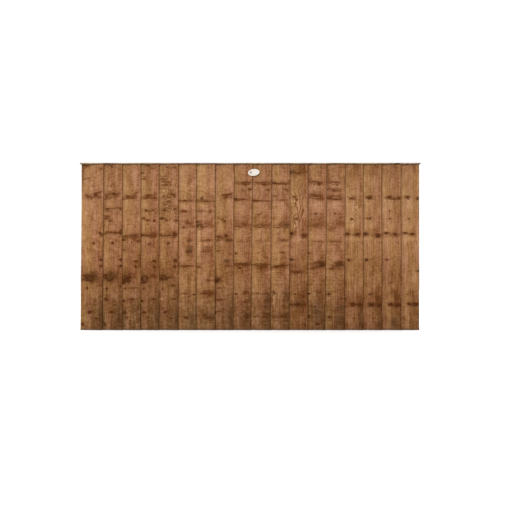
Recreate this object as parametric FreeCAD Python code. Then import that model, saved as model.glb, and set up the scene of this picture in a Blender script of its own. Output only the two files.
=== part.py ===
import FreeCAD, Part
import math
import os

# Closeboard fence panel: feather-edge boards lapped over a batten frame, under a capping strip.
# Millimetres. X runs along the panel, to the right seen from the front. Y runs from front to back.
# Z is up. The origin is at the middle of the panel's foot.

# Overall sizes
PANEL_WIDTH = 1820.0  # over the outer faces of the two stiles
PANEL_HEIGHT = 900.0  # from the foot of the boards to the top of the cap

# Feather-edge boards: each one's thick right edge lies over the thin left edge of the next
BOARD_COUNT = 18
BOARD_WIDTH = 120.0
BOARD_THICK_EDGE = 11.0
BOARD_THIN_EDGE = 4.0
LAP_CLEARANCE = 0.1  # between a board's back corner and the face that it bears on

# How far each board was laid to the right of its even place, and how far its top leans to the right
BOARD_WANDER = (-1, 2, 2, 0, 4, 0, 2, 1, -2, 2, 2, 1, -3, -1, -3, -2, 1, 0)
BOARD_LEAN = (8, 2, 1, 1, 2, 1, 0, 6, 9, 7, 4, 0, 12, 4, 2, 0, 0, 0)

# Frame behind the boards: rails butted between two stiles
FRAME_DEPTH = 28.0
STILE_WIDTH = 38.0
RAIL_HEIGHT = 38.0
BOTTOM_RAIL_RISE = 62.0  # from the foot to the underside of the bottom rail

# Capping strip, on the top of the frame and the boards
CAP_THICKNESS = 8.0
CAP_END_OVERHANG = 5.0  # past each stile
CAP_FRONT_OVERHANG = 6.0  # past the proudest board
CAP_BACK_OVERHANG = 2.0
CAP_EDGE_RADIUS = 2.0

# Wire nails: the short ones hold the boards and the cap, the long ones the frame
BOARD_NAIL_LENGTH = 32.0
BOARD_NAIL_SHANK_RADIUS = 1.35
BOARD_NAIL_HEAD_RADIUS = 3.2
FRAME_NAIL_LENGTH = 65.0
FRAME_NAIL_SHANK_RADIUS = 1.7
FRAME_NAIL_HEAD_RADIUS = 3.8
NAIL_HEAD_THICKNESS = 1.2
NAIL_POINT_LENGTH = 4.0
NAIL_HOLE_CLEARANCE = 0.05
BOARD_NAIL_SETBACK = 10.0  # from the hidden thin edge of the next board to the nail
FRAME_NAIL_SPACING = 18.0  # between the two nails in each rail end
CAP_NAIL_STEP = 3  # boards from one cap nail to the next

# Blank oval plaque, pinned to one board near the top
PLAQUE_BOARD = 9
PLAQUE_LENGTH = 62.0
PLAQUE_HEIGHT = 37.0
PLAQUE_THICKNESS = 1.6
PLAQUE_EDGE_RADIUS = 0.5
PLAQUE_REACH = 7.4  # from the board's thick edge to the plaque's middle
PLAQUE_DROP = 52.5  # from the top of the cap to the plaque's middle
PLAQUE_TILT = 6.0  # degrees that its right end is turned up
PIN_LENGTH = 9.0
PIN_SHANK_RADIUS = 0.7
PIN_HEAD_RADIUS = 1.8
PIN_SPACING = 6.5  # from one pin to the other
PIN_SLANT = 45.0  # degrees from level, going from the left pin to the right one
PIN_SETBACK = 9.0  # from the board's thick edge to the middle of the pair

# Working sizes
HALF_WIDTH = PANEL_WIDTH / 2
BOARD_LENGTH = PANEL_HEIGHT - CAP_THICKNESS
BOARD_PITCH = (PANEL_WIDTH - BOARD_WIDTH) / (BOARD_COUNT - 1)
UP = FreeCAD.Vector(0, 0, 1)


class Board:
    """Where one feather-edge board lies. Depths count forwards from the front of the frame."""

    def __init__(self, number, next_board):
        place = number - 1
        self.lean = BOARD_LEAN[place % len(BOARD_LEAN)]
        wander = BOARD_WANDER[place % len(BOARD_WANDER)]
        self.left = place * BOARD_PITCH + wander - HALF_WIDTH
        self.next_board = next_board
        self.lift = self.bearing_depth()
        self.slope = (self.lift + BOARD_THICK_EDGE - BOARD_THIN_EDGE) / BOARD_WIDTH

    def shift(self, height):
        """How far the lean carries the board to the right at a height."""
        return self.lean * (height / BOARD_LENGTH - 0.5)

    def left_at(self, height):
        return self.left + self.shift(height)

    def right_at(self, height):
        return self.left_at(height) + BOARD_WIDTH

    def front_depth(self, across):
        """Depth of the front face at a distance from the thin edge."""
        return BOARD_THIN_EDGE + self.slope * across

    def lap_at(self, height):
        """How much of the next board this one covers."""
        return self.right_at(height) - self.next_board.left_at(height)

    def bearing_depth(self):
        """Depth at which the thick edge's back corner bears on the next board."""
        if self.next_board is None:
            return 0.0
        lap = max(self.lap_at(0), self.lap_at(BOARD_LENGTH))
        if lap <= 0:
            return 0.0
        return self.next_board.front_depth(lap) + LAP_CLEARANCE

    def nail_across(self, height):
        """Distance from the thin edge to a nail that just clears the board beneath."""
        lap = BOARD_WIDTH - BOARD_PITCH if self.next_board is None else self.lap_at(height)
        return BOARD_WIDTH - lap - BOARD_NAIL_SETBACK

    def face_point(self, across, height):
        """A point on the front face."""
        y = FRAME_FRONT - self.front_depth(across)
        return FreeCAD.Vector(self.left_at(height) + across, y, height)

    def into_face(self):
        """The direction square to the front face, into the wood."""
        across = FreeCAD.Vector(1, -self.slope, 0)
        along = FreeCAD.Vector(self.lean, 0, BOARD_LENGTH)
        return along.cross(across).normalize()


def lay_boards():
    """The boards, numbered from the left. They are laid from the right, each over the last."""
    laid = []
    for number in range(BOARD_COUNT, 0, -1):
        laid.insert(0, Board(number, laid[0] if laid else None))
    return laid


BOARDS = lay_boards()
BOARD_STAND = max(board.lift for board in BOARDS) + BOARD_THICK_EDGE
CAP_DEPTH = CAP_FRONT_OVERHANG + BOARD_STAND + FRAME_DEPTH + CAP_BACK_OVERHANG
CAP_FRONT = -CAP_DEPTH / 2
FRAME_FRONT = CAP_FRONT + CAP_FRONT_OVERHANG + BOARD_STAND
FRAME_BACK = FRAME_FRONT + FRAME_DEPTH
FRAME_MIDDLE = (FRAME_FRONT + FRAME_BACK) / 2
RAIL_END = HALF_WIDTH - STILE_WIDTH
TOP_RAIL_HEIGHT = BOARD_LENGTH - RAIL_HEIGHT / 2
BOTTOM_RAIL_HEIGHT = BOTTOM_RAIL_RISE + RAIL_HEIGHT / 2
RAIL_HEIGHTS = {
    "top_rail": TOP_RAIL_HEIGHT,
    "middle_rail": (TOP_RAIL_HEIGHT + BOTTOM_RAIL_HEIGHT) / 2,
    "bottom_rail": BOTTOM_RAIL_HEIGHT,
}


def block(low, high):
    """A box between two corners."""
    size = [b - a for a, b in zip(low, high)]
    return Part.makeBox(*size, FreeCAD.Vector(*low))


def feather_edge_board(board):
    """A tapered section, carried up the board's length and over by its lean."""
    left = board.left_at(0)
    right = board.right_at(0)
    corners = (
        (left, 0),
        (right, board.lift),
        (right, board.lift + BOARD_THICK_EDGE),
        (left, BOARD_THIN_EDGE),
        (left, 0),
    )
    outline = [FreeCAD.Vector(x, FRAME_FRONT - depth, 0) for x, depth in corners]
    section = Part.Face(Part.makePolygon(outline))
    return section.extrude(FreeCAD.Vector(board.lean, 0, BOARD_LENGTH))


def stile(outer, inner):
    low = (min(outer, inner), FRAME_FRONT, 0)
    high = (max(outer, inner), FRAME_BACK, BOARD_LENGTH)
    return block(low, high)


def rail(height):
    low = (-RAIL_END, FRAME_FRONT, height - RAIL_HEIGHT / 2)
    high = (RAIL_END, FRAME_BACK, height + RAIL_HEIGHT / 2)
    return block(low, high)


def capping_strip():
    """A flat strip with its long top edges eased."""
    end = HALF_WIDTH + CAP_END_OVERHANG
    strip = block((-end, CAP_FRONT, BOARD_LENGTH), (end, -CAP_FRONT, PANEL_HEIGHT))
    long_edges = [
        edge
        for edge in strip.Edges
        if edge.BoundBox.XLength > end and edge.BoundBox.ZMin > BOARD_LENGTH + CAP_THICKNESS / 2
    ]
    return strip.makeFillet(CAP_EDGE_RADIUS, long_edges)


class Nail:
    """A round wire nail. Its head is flush with the wood, or stands on it."""

    def __init__(self, point, direction, length, shank, head, flush=True):
        self.place = FreeCAD.Placement(point, FreeCAD.Rotation(-UP, direction))
        self.length = length
        self.shank = shank
        self.head = head
        self.head_top = 0.0 if flush else NAIL_HEAD_THICKNESS

    def turned(self, grow, head_top):
        """The nail's outline, grown by a clearance, turned about its axis. It points down."""
        under_head = self.head_top - NAIL_HEAD_THICKNESS
        tip = self.head_top - self.length
        outline = (
            (0, head_top),
            (self.head + grow, head_top),
            (self.head + grow, under_head),
            (self.shank + grow, under_head),
            (self.shank + grow, tip + NAIL_POINT_LENGTH),
            (0, tip - grow),
            (0, head_top),
        )
        wire = Part.makePolygon([FreeCAD.Vector(r, 0, z) for r, z in outline])
        solid = Part.Face(wire).revolve(FreeCAD.Vector(), UP, 360)
        solid.Placement = self.place
        return solid

    def solid(self):
        return self.turned(0.0, self.head_top)

    def hole(self):
        """What the nail takes out of the wood, open at the face."""
        return self.turned(NAIL_HOLE_CLEARANCE, self.head_top + NAIL_HEAD_THICKNESS)


def board_nail(point, direction):
    return Nail(point, direction, BOARD_NAIL_LENGTH, BOARD_NAIL_SHANK_RADIUS, BOARD_NAIL_HEAD_RADIUS)


def rail_nails(height):
    """One nail in each board at a rail, and one more by the free edge of the first board."""
    first = BOARDS[0]
    free_edge = -HALF_WIDTH + STILE_WIDTH / 2 - first.left_at(height)
    places = [(board, board.nail_across(height)) for board in BOARDS] + [(first, free_edge)]
    return [board_nail(board.face_point(across, height), board.into_face()) for board, across in places]


def frame_nails():
    """Two long nails through each stile into the end of each rail."""
    nails = []
    for side in (-1, 1):
        for height in RAIL_HEIGHTS.values():
            for offset in (-FRAME_NAIL_SPACING / 2, FRAME_NAIL_SPACING / 2):
                point = FreeCAD.Vector(side * HALF_WIDTH, FRAME_MIDDLE, height + offset)
                inward = FreeCAD.Vector(-side, 0, 0)
                nails.append(
                    Nail(point, inward, FRAME_NAIL_LENGTH, FRAME_NAIL_SHANK_RADIUS, FRAME_NAIL_HEAD_RADIUS)
                )
    return nails


def cap_nails():
    """Nails down into the top rail, half a board from the board nails, and one into each stile."""
    spots = [
        board.left + board.nail_across(BOARD_LENGTH) + BOARD_PITCH / 2
        for board in BOARDS[: -1 : CAP_NAIL_STEP]
    ]
    spots += [-HALF_WIDTH + STILE_WIDTH / 4, HALF_WIDTH - STILE_WIDTH / 4]
    back_quarter = (FRAME_MIDDLE + FRAME_BACK) / 2
    return [board_nail(FreeCAD.Vector(x, back_quarter, PANEL_HEIGHT), -UP) for x in spots]


def on_plaque_board(across, up):
    """A point on the plaque board's face, from its thick edge and from the plaque's middle height."""
    board = BOARDS[PLAQUE_BOARD - 1]
    return board.face_point(BOARD_WIDTH + across, PANEL_HEIGHT - PLAQUE_DROP + up)


def oval_plaque():
    """A thin oval disc, flat on its board and reaching past the board's thick edge."""
    oval = Part.Ellipse(FreeCAD.Vector(), PLAQUE_LENGTH / 2, PLAQUE_HEIGHT / 2)
    face = Part.Face(Part.Wire(oval.toShape()))
    disc = face.extrude(UP * PLAQUE_THICKNESS)
    rim = [edge for edge in disc.Edges if edge.BoundBox.ZMin > PLAQUE_THICKNESS / 2]
    disc = disc.makeFillet(PLAQUE_EDGE_RADIUS, rim)
    outward = -BOARDS[PLAQUE_BOARD - 1].into_face()
    along = UP.cross(outward)
    turn = FreeCAD.Rotation(along, UP, outward, "ZXY")
    tilt = FreeCAD.Rotation(UP, PLAQUE_TILT)
    disc.Placement = FreeCAD.Placement(on_plaque_board(PLAQUE_REACH, 0), turn * tilt)
    return disc


def plaque_pins():
    """Two pins through the plaque, close together on a slant, with their heads on its face."""
    into = BOARDS[PLAQUE_BOARD - 1].into_face()
    slant = math.radians(PIN_SLANT)
    pins = []
    for reach in (-PIN_SPACING / 2, PIN_SPACING / 2):
        on_board = on_plaque_board(reach * math.cos(slant) - PIN_SETBACK, reach * math.sin(slant))
        point = on_board - into * PLAQUE_THICKNESS
        pins.append(Nail(point, into, PIN_LENGTH, PIN_SHANK_RADIUS, PIN_HEAD_RADIUS, flush=False))
    return pins


def drilled(piece, nails):
    """The piece with a hole for every nail that reaches it."""
    holes = [hole for hole in (nail.hole() for nail in nails) if hole.BoundBox.intersect(piece.BoundBox)]
    return piece.cut(Part.makeCompound(holes)) if holes else piece


def write(name, shape):
    shape.exportStep(os.path.join("parts", name + ".step"))


def main():
    os.makedirs("parts", exist_ok=True)
    fixings = {name + "_nails": rail_nails(height) for name, height in RAIL_HEIGHTS.items()}
    fixings["frame_nails"] = frame_nails()
    fixings["cap_nails"] = cap_nails()
    fixings["plaque_pins"] = plaque_pins()

    pieces = {f"board_{number:02d}": feather_edge_board(board) for number, board in enumerate(BOARDS, 1)}
    pieces["left_stile"] = stile(-HALF_WIDTH, -RAIL_END)
    pieces["right_stile"] = stile(HALF_WIDTH, RAIL_END)
    for name, height in RAIL_HEIGHTS.items():
        pieces[name] = rail(height)
    pieces["capping_strip"] = capping_strip()
    pieces["oval_plaque"] = oval_plaque()

    every_nail = [nail for nails in fixings.values() for nail in nails]
    for name, piece in pieces.items():
        write(name, drilled(piece, every_nail))
    for name, nails in fixings.items():
        write(name, Part.makeCompound([nail.solid() for nail in nails]))
    print(f"depth {CAP_DEPTH:.2f}, frame front {FRAME_FRONT:.2f}, boards stand {BOARD_STAND:.2f}")


main()
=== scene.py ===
"""Looks of a closeboard fence panel: rough sawn softwood, treated brown, on a pale studio floor.

Each board, rail, stile and the cap is a finely gridded sawn timber in the place of its CAD node. The
timbers carry their grain, knots and stains as attributes, which the wood materials read. The nails, pins
and plaque keep their CAD shapes and get materials.
"""
import math
from collections import namedtuple

import bpy
import numpy as np
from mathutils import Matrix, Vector


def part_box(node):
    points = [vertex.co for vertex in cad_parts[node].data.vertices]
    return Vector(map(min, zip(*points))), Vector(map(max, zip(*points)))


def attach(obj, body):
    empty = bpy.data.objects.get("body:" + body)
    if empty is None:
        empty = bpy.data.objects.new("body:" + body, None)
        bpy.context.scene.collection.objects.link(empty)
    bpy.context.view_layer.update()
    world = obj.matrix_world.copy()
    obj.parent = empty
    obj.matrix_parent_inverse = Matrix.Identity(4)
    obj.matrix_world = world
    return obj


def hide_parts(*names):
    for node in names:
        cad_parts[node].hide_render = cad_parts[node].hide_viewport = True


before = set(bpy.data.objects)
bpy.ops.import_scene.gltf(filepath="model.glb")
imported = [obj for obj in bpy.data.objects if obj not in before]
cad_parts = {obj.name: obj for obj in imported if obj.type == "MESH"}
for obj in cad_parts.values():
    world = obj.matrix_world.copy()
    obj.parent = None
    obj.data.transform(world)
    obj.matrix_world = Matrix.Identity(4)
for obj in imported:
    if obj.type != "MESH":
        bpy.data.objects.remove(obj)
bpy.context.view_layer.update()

MM = 0.001
HUNDREDTH = 0.01
BOARD_COUNT = 18

# The mesh of a sawn timber, in metres where no other measure is named
GRID_ACROSS = 0.005
GRID_ALONG = 0.0055
ARRIS = 0.0009
CAP_ARRIS = 0.002
END_ARRIS = 0.0005
SKIN = 0.0002
SWELL = 0.0003
RAGGED_EDGE = 0.0006
KNOT_RISE = 0.0003
NAIL_DIMPLE = 0.0005
NAIL_DIMPLE_RADIUS = 0.005
ARRIS_DROP = 0.9  # of the arris
WEAR_SHARE = 0.5  # of the arris, by which its wear varies
WEAR_CELLS = (60, 1)  # along and across a timber
SWELL_CELLS = (9, 2)
RAGGED_CELLS = (70, 1)
SMOOTH_ANGLE = math.radians(60)
SAME_LEVEL = 1e-5
NAILS_APART = 0.004  # at least

# Knots, smears and stains, with lengths in sizes of the mark. Grain bends round a knot, and a dark halo
# reaches out along and up from a knot or smear
GRAIN_PUSH = 0.55
GRAIN_REACH = (1.7, 3.2)
KNOT_HALO = (2.8, 1.7)
SMEAR_HALO = (1.3, 2.6)
HALO_STRENGTH = 0.62
STAIN_STRENGTH = 0.7
# How suddenly a mark ends along and up: powers of the distance
SOFT_EDGES = (2, 2)
SHARP_ENDS = (4, 2)
SHARP_EDGES = (4, 4)
# A mark that is more than this many times as long as it is high is a smear, and has no rings
SMEAR_SHAPE = 2.2
SMEAR_EDGE = (1.3, 0.2)  # from clear wood to full cover
SMEAR_COVER = 0.86
SMEAR_STREAKS = (0.5, 2.6, 0.0)  # cycles along and up
KNOT_EDGE = (1.6, 0.35)  # from clear wood to full cover
KNOT_RIM = 0.75
RIM_BLUR = 0.4
RIM_COVER = 0.95
RING_TURNS = 19.0  # radians
RING_COVER = 0.55
# Waves of a mark's outline: cycles a metre and how far they reach
SMEAR_WAVES = ((60.0, 1.2), (190.0, 0.9))
KNOT_WAVES = ((70.0, 0.9), (220.0, 0.5))
NEAR_RANGE = (2.1, 1.5)  # between which a mark fades in, so that no wave draws it far off
# Stands for the distance of points that no mark is near
FAR_OFF = 50.0
RANGE_LIMIT = 4.0

# How light a board's face is, from 0 to 1, and how that falls or gains over it
BOARD_LEVEL = 0.535
SAPWOOD_GAIN = 0.045
SAPWOOD_START = 20.0  # mm from the thin edge, where the lap ends
SAPWOOD_BLUR = 7.0  # mm
SAPWOOD_WANDER = 7.0  # mm
SAPWOOD_TURNS = 9.0  # radians a metre
ACROSS_FALL = 0.035
# Darker towards the foot: partly damp, partly painted shade, as less light reaches low down
FOOT_FALL = 0.06
LOW_FALL = 0.08
LOW_SHARE = 0.4  # of the height, below which the boards are darker
LOW_BLUR = 0.05
DAMP_HEIGHT = 0.34  # metres
DAMP_FALL = 0.1
LEAST_RUN = 0.25  # of the damp, between the runs of water
# Painted shade along the foot, where the panel meets the floor: a grey band
FOOT_SHADE_HEIGHT = 0.016  # metres, of the grey line along the foot
FOOT_SHADE_COVER = 0.75
SUN_HEIGHTS = (0.5, 0.75)  # metres, between which the sun's bleaching sets in
FAINT_HEIGHTS = (0.3, 0.65)  # metres, between which knots and smears grow fainter
FAINT_SHARE = 0.82
# Painted shade below the cap: the boards darken near their tops
CAP_SHADE_FALL = 0.035
CAP_SHADE_SHARE = 0.08  # of the height, over which the boards are darker below the cap
# Painted shade of the seams: each board is darker along its thick edge, and its colour there deeper and
# warmer
SEAM_SHADE_FALL = 0.12
SEAM_SHADE_WIDTH = 3.0  # mm
SEAM_SHADE_SHARES = (0.96, 1.0)  # of the width, between which a board's colour grows deeper

# The level of the studio's light on a face that looks at the camera
STUDIO_LEVEL = 1.5

# The studio: a pale floor, white surroundings and soft lights that look at the panel, in metres and watts
FLOOR_REACH = 30.0
FLOOR_DROP = 0.0004
WORLD_STRENGTH = 1.18
LIGHT_TARGET = (0.0, 0.0, 0.5)
Light = namedtuple("Light", "name place size power")
LIGHTS = (
    Light("key", (-1.7, -5.4, 3.1), 2.0, 320.0),
    Light("back_fill", (2.4, 4.6, 2.6), 3.0, 160.0),
)

# Camera: the photo is square, and takes in 2.74 m at the panel
CAMERA_PLACE = (0.026, -5.02, 0.404)
CAMERA_LENS = 65.7
SENSOR_WIDTH = 36.0

# A mark: millimetres from the board's thin edge and from its foot, half its length and half its height, and
# how many degrees its right end is turned up
Mark = namedtuple("Mark", "across height half_length half_height tilt", defaults=(0,))
# One timber's marks by kind
Marks = namedtuple("Marks", "knots stains grimes waves flecks")

# Knots scattered over the frame and cap: mm from one to the next, the least size in mm and the greatest as
# a share of the timber's width, the shares of its width and length where they lie, and their shape
KNOT_SPACING = 170.0
LEAST_KNOT = 4
GREATEST_KNOT = 0.22
KNOTS_ACROSS = (0.15, 0.85)
KNOTS_ALONG = (0.03, 0.97)
KNOT_LENGTHS = (1.0, 1.5)
KNOT_HEIGHTS = (0.7, 1.0)

# Knots and smears
BOARD_KNOTS = {
    1: ((24, 884, 22, 7), (105, 867, 14, 4), (64, 773, 4, 4), (76, 728, 8, 8), (96, 740, 18, 5, 5),
        (39, 717, 20, 6, -20), (98, 712, 16, 3), (110, 517, 14, 7, -30), (70, 468, 7, 7),
        (111, 377, 9, 9), (111, 344, 8, 8), (20, 292, 8, 5), (31, 281, 9, 5, -30), (45, 291, 9, 6),
        (53, 266, 12, 7), (68, 284, 7, 8), (11, 272, 7, 4), (82, 288, 12, 4), (36, 301, 14, 3),
        (34, 267, 8, 4), (35, 226, 6, 6), (52, 96, 11, 8.5), (87, 64, 7, 6.5), (13, 31, 8, 8)),
    2: ((63, 878, 7, 6), (61, 773, 4, 4), (75, 732, 9, 8), (38, 716, 18, 6), (48, 735, 16, 4, 10),
        (102, 732, 18, 4), (40, 649, 9, 8), (113, 651, 7, 7), (57, 589, 5, 5), (113, 526, 7, 15),
        (76, 522, 44, 5), (26, 518, 14, 6), (78, 655, 34, 3), (38, 612, 14, 4), (68, 469, 7, 7),
        (113, 377, 8, 8), (113, 344, 8, 8), (28, 295, 10, 5, 15), (51, 297, 13, 4), (34, 280, 10, 5, -30),
        (52, 267, 13, 6), (68, 277, 10, 5, 30), (78, 290, 11, 4, -20), (111, 238, 7, 6), (37, 224, 7, 7),
        (36, 206, 3, 3), (37, 188, 3, 3), (34, 165, 10, 10), (63, 96, 11, 7), (26, 32, 7, 7.5)),
    3: ((49, 719, 9, 8), (80, 710, 18, 6, 20), (96, 738, 16, 4, 25), (37, 504, 18, 7), (86, 508, 20, 7),
        (28, 486, 10, 5), (106, 480, 8, 6), (27, 429, 6, 3), (94, 370, 11, 6), (92, 341, 7, 7),
        (29, 264, 10, 7), (47, 276, 11, 7), (54, 263, 9, 8), (60, 287, 6, 7), (24, 252, 7, 5),
        (38, 287, 9, 4, 30), (35, 224, 5, 5), (78, 226, 30, 2), (29, 157, 8, 8), (74, 166, 26, 7),
        (33, 94, 8.5, 8.5), (45, 66, 6, 5)),
    4: ((60, 882, 24, 4), (86, 868, 22, 4, 15), (31, 847, 8, 5), (39, 815, 14, 5, 25), (43, 716, 16, 5),
        (64, 725, 6, 6), (92, 711, 22, 7), (100, 736, 14, 3), (50, 645, 8, 7), (87, 645, 15, 4, 20),
        (37, 601, 13, 5), (59, 591, 5, 5), (94, 588, 8, 8), (34, 511, 14, 6), (87, 508, 22, 8),
        (66, 510, 42, 5), (67, 463, 6, 6), (95, 372, 9, 8), (95, 341, 6, 6), (27, 276, 6, 11),
        (39, 291, 12, 5), (55, 277, 6, 11), (40, 256, 12, 6), (92, 288, 20, 4), (36, 222, 5, 5),
        (94, 167, 22, 7), (28, 157, 7, 7), (39, 96, 10, 7.5), (58, 66, 7, 4)),
    5: ((58, 876, 8, 4), (100, 872, 16, 5), (39, 719, 6, 6), (90, 727, 20, 7, -10), (46, 646, 9, 8),
        (100, 651, 8, 7), (32, 601, 13, 6), (57, 591, 5, 5), (109, 589, 8, 7), (32, 507, 22, 6),
        (103, 514, 11, 10), (68, 510, 40, 3), (66, 468, 8, 7), (105, 375, 11, 9), (102, 343, 8, 7),
        (38, 291, 21, 5), (36, 271, 18, 7), (28, 281, 7, 5), (57, 275, 8, 5), (78, 282, 24, 3),
        (90, 238, 20, 5), (34, 222, 4, 4), (106, 168, 18, 5), (50, 96, 9, 8.5), (81, 64, 5, 5)),
    6: ((72, 696, 50, 2.6), (58, 698, 8, 4), (50, 640, 24, 3), (52, 553, 12, 4), (84, 483, 20, 6),
        (80, 417, 16, 3), (50, 344, 34, 6), (110, 192, 9, 5), (60, 197, 36, 3), (64, 68, 10, 5),
        (95, 78, 20, 3)),
    7: ((48, 709, 10, 7), (70, 694, 50, 3.2), (41, 640, 20, 4), (96, 640, 12, 4), (25, 582, 6, 6),
        (25, 557, 6, 6), (50, 554, 12, 5), (78, 484, 34, 3, 6), (36, 339, 16, 6), (86, 268, 24, 5),
        (80, 199, 40, 7), (98, 196, 18, 5), (62, 80, 10, 5), (88, 68, 28, 7)),
    8: ((92, 730, 24, 5, 15), (90, 714, 24, 4, 5), (50, 597, 22, 3, -25), (72, 586, 6, 5),
        (43, 503, 15, 5), (80, 506, 11, 8), (36, 484, 13, 5), (92, 480, 18, 7), (39, 426, 16, 3),
        (85, 369, 18, 7), (88, 344, 14, 5), (34, 268, 18, 10, 40), (48, 226, 22, 2.5), (45, 162, 26, 5),
        (39, 101, 18, 3), (26, 94, 5, 5)),
    9: ((68, 796, 54, 2.8), (83, 782, 16, 6), (66, 754, 10, 4), (107, 757, 11, 6), (32, 703, 9, 8),
        (70, 701, 30, 3), (35, 413, 6, 6), (56, 335, 9, 6), (72, 355, 54, 3), (88, 351, 24, 5),
        (92, 201, 24, 8), (39, 195, 6, 6), (96, 152, 24, 4), (97, 76, 13, 12)),
    10: ((70, 795, 56, 3), (79, 783, 10, 6), (102, 754, 16, 6), (35, 697, 18, 6), (80, 695, 36, 2),
         (58, 622, 22, 3, 30), (50, 552, 20, 3), (56, 415, 4, 4), (70, 354, 58, 3.4), (66, 341, 28, 2.5),
         (66, 331, 28, 2.5), (48, 198, 26, 5), (95, 88, 24, 5), (93, 70, 26, 5), (36, 72, 10, 4)),
    11: ((80, 788, 46, 3), (36, 792, 14, 7), (100, 754, 20, 5, -20), (36, 722, 16, 3), (74, 699, 50, 2.4),
         (50, 552, 26, 3), (88, 483, 24, 6), (81, 415, 22, 3), (70, 347, 54, 4, 6), (46, 336, 22, 4, 8),
         (32, 206, 14, 5), (42, 196, 14, 5), (34, 71, 18, 5, -30), (91, 79, 26, 6), (88, 70, 26, 4)),
    12: ((46, 716, 7, 6), (60, 701, 6, 5), (58, 597, 7, 6), (32, 519, 10, 9), (100, 509, 13, 9),
         (31, 379, 9, 8), (62, 312, 24, 9), (52, 193, 5, 5), (64, 139, 11, 10), (34, 138, 18, 4),
         (94, 139, 18, 4)),
    13: ((70, 797, 46, 2.4), (80, 783, 9, 7), (56, 728, 36, 6, -6), (74, 708, 24, 6), (64, 625, 8, 7),
         (83, 477, 34, 3), (27, 413, 5, 5), (78, 364, 36, 4, 10), (66, 336, 26, 6, 12),
         (104, 350, 12, 12), (91, 202, 22, 5, 20), (31, 197, 10, 5), (34, 74, 7, 7), (81, 32, 11, 6, 30)),
    14: ((70, 797, 44, 2.4), (78, 781, 6, 5), (60, 760, 36, 2), (72, 747, 28, 2), (44, 716, 26, 7),
         (78, 703, 38, 4), (67, 626, 6, 6), (72, 477, 40, 3), (58, 335, 16, 7, 20), (88, 362, 30, 5),
         (96, 350, 20, 8), (36, 194, 8, 7), (38, 69, 7, 7)),
    15: ((52, 706, 9, 4, 20), (66, 714, 9, 3.5, -15), (61, 597, 7, 6), (37, 518, 10, 8),
         (92, 514, 12, 8, 20), (44, 376, 8.5, 7.5), (65, 138, 11, 10), (106, 137, 13, 9)),
    16: ((54, 711, 11, 9), (59, 600, 7, 6), (42, 601, 14, 2.5), (36, 518, 13, 9), (98, 509, 13, 10),
         (39, 376, 9, 8), (55, 192, 6, 5), (62, 137, 13, 10), (108, 135, 11, 10)),
    17: ((60, 714, 10, 9), (85, 707, 20, 2), (111, 710, 7, 8), (60, 640, 4, 4), (62, 600, 6, 5),
         (42, 521, 10, 7), (90, 514, 12, 8), (45, 377, 6, 5), (63, 137, 11, 9), (106, 135, 15, 10)),
    18: ((60, 714, 11, 8), (112, 708, 9, 9), (64, 600, 6, 5), (46, 522, 8, 6), (84, 516, 8, 6.5),
         (113, 318, 6, 6), (58, 192, 3, 3), (63, 140, 9, 8), (102, 138, 14, 9)),
}

# Soft dark stains, with no knot in them
BOARD_STAINS = {
    1: ((30, 816, 18, 8), (60, 722, 48, 13), (104, 240, 18, 8)),
    2: ((70, 726, 46, 13), (33, 601, 14, 13), (70, 526, 45, 9)),
    3: ((60, 716, 50, 14), (65, 500, 50, 22), (60, 284, 44, 30), (80, 226, 30, 4)),
    4: ((70, 714, 45, 14), (60, 510, 50, 14), (92, 292, 24, 28)),
    5: ((34, 813, 12, 12), (52, 790, 40, 44), (62, 690, 46, 54), (92, 727, 26, 14), (65, 510, 50, 16)),
    6: ((70, 694, 50, 7), (55, 639, 26, 6), (82, 568, 36, 22), (86, 435, 22, 24), (94, 302, 10, 9),
        (72, 345, 46, 8)),
    7: ((70, 694, 50, 12), (70, 564, 45, 22), (70, 480, 40, 6), (75, 430, 36, 26), (80, 197, 40, 14)),
    8: ((88, 722, 30, 16), (65, 498, 45, 20), (45, 268, 28, 24), (60, 40, 35, 6)),
    9: ((66, 790, 54, 12), (66, 703, 45, 8), (66, 564, 54, 20), (75, 477, 35, 5), (72, 350, 52, 12)),
    10: ((66, 794, 56, 8), (100, 786, 24, 18), (75, 697, 45, 5), (70, 562, 54, 18), (77, 483, 40, 5),
         (72, 346, 54, 12), (100, 197, 20, 14), (100, 154, 22, 8), (95, 80, 26, 10)),
    11: ((74, 789, 48, 11), (84, 566, 36, 18), (68, 345, 54, 11), (91, 157, 24, 8), (85, 78, 34, 10)),
    12: ((40, 850, 36, 22), (90, 850, 40, 14), (30, 518, 20, 16), (100, 511, 22, 16), (60, 312, 40, 16),
         (64, 136, 50, 20)),
    13: ((66, 793, 50, 15), (66, 716, 50, 18), (66, 563, 50, 16), (76, 352, 45, 14), (58, 125, 18, 12)),
    14: ((70, 793, 50, 14), (62, 754, 50, 12), (66, 712, 50, 14), (49, 543, 30, 14), (80, 352, 40, 12)),
    15: ((60, 710, 26, 16), (37, 518, 20, 10), (92, 514, 22, 11), (88, 137, 36, 9)),
    16: ((55, 710, 22, 16), (34, 518, 20, 11), (98, 509, 22, 13), (86, 136, 36, 10)),
    17: ((85, 708, 40, 14), (42, 521, 20, 10), (90, 514, 22, 10), (68, 258, 16, 8, 30),
         (86, 136, 36, 10)),
    18: ((61, 712, 18, 12), (46, 522, 18, 9), (84, 516, 20, 10), (82, 138, 36, 10)),
}
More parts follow.
